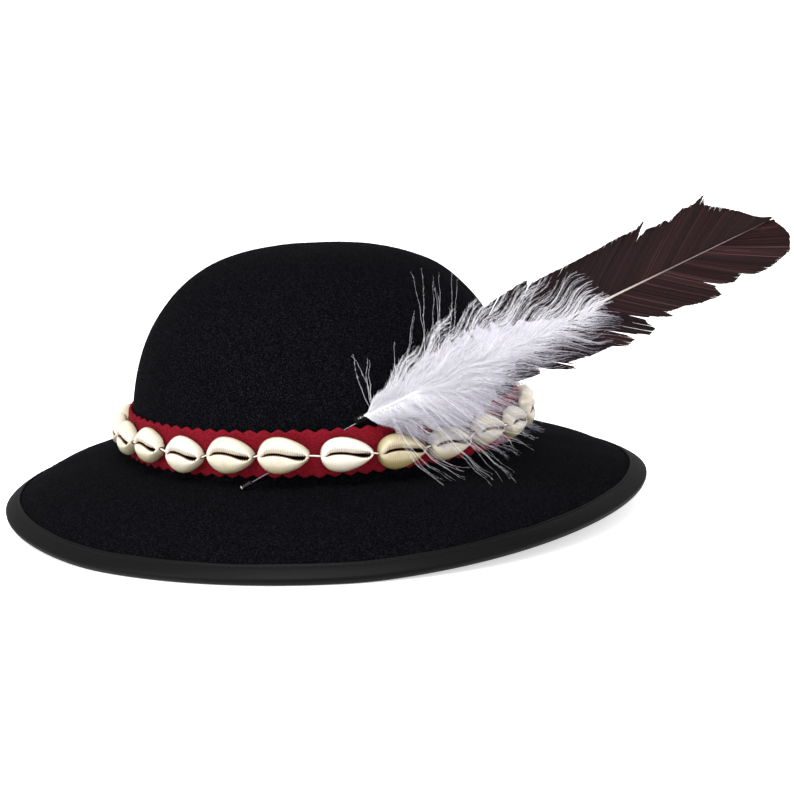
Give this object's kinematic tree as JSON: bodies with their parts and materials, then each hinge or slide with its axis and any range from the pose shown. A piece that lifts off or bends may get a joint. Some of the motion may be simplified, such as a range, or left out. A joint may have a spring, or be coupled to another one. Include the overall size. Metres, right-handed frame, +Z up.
{
  "type": "felt highlander hat with shell band and feathers",
  "caption": "Round-crowned felt hat with a drooping bound brim, a red band, a cowrie string and two feathers on a pin.",
  "frame": {"origin": "under the middle of the hat's outline, feathers included, at the level that its brim rests on", "axes": "+Z up; the wearer's front is -X and the feathers trail towards +X on the -Y side"},
  "size_m": [0.384, 0.3042, 0.1584],
  "materials": {
    "black_felt": "matte wool felt, blocked",
    "black_ribbon": "ribbed ribbon, slight sheen",
    "red_felt": "matte crimson felt, pinked edges",
    "white_thread": "twisted cotton thread",
    "cowrie_shell": "glossy ivory cowrie shell",
    "dark_vane": "dark brown feather vane, faint gloss",
    "white_down": "soft white down",
    "black_thread": "wound black thread",
    "pin_steel": "drawn steel wire",
    "clutch_metal": "dark plated cap"
  },
  "bodies": {
    "root": {"crown_and_brim": "black_felt", "brim_binding": "black_ribbon", "red_band": "red_felt", "shell_thread": "white_thread", "quill_feather": "dark_vane", "down_feather": "white_down", "feather_wrap": "black_thread", "hat_pin": "pin_steel", "pin_clutch": "clutch_metal", "cowrie_01": "cowrie_shell", "cowrie_02": "cowrie_shell", "cowrie_03": "cowrie_shell", "cowrie_04": "cowrie_shell", "cowrie_05": "cowrie_shell", "cowrie_06": "cowrie_shell", "cowrie_07": "cowrie_shell", "cowrie_08": "cowrie_shell", "cowrie_09": "cowrie_shell", "cowrie_10": "cowrie_shell", "cowrie_11": "cowrie_shell", "cowrie_12": "cowrie_shell", "cowrie_13": "cowrie_shell", "cowrie_14": "cowrie_shell", "cowrie_15": "cowrie_shell", "cowrie_16": "cowrie_shell", "cowrie_17": "cowrie_shell", "cowrie_18": "cowrie_shell", "cowrie_19": "cowrie_shell", "cowrie_20": "cowrie_shell", "cowrie_21": "cowrie_shell", "cowrie_22": "cowrie_shell", "cowrie_23": "cowrie_shell", "cowrie_24": "cowrie_shell"}
  },
  "joints": []
}
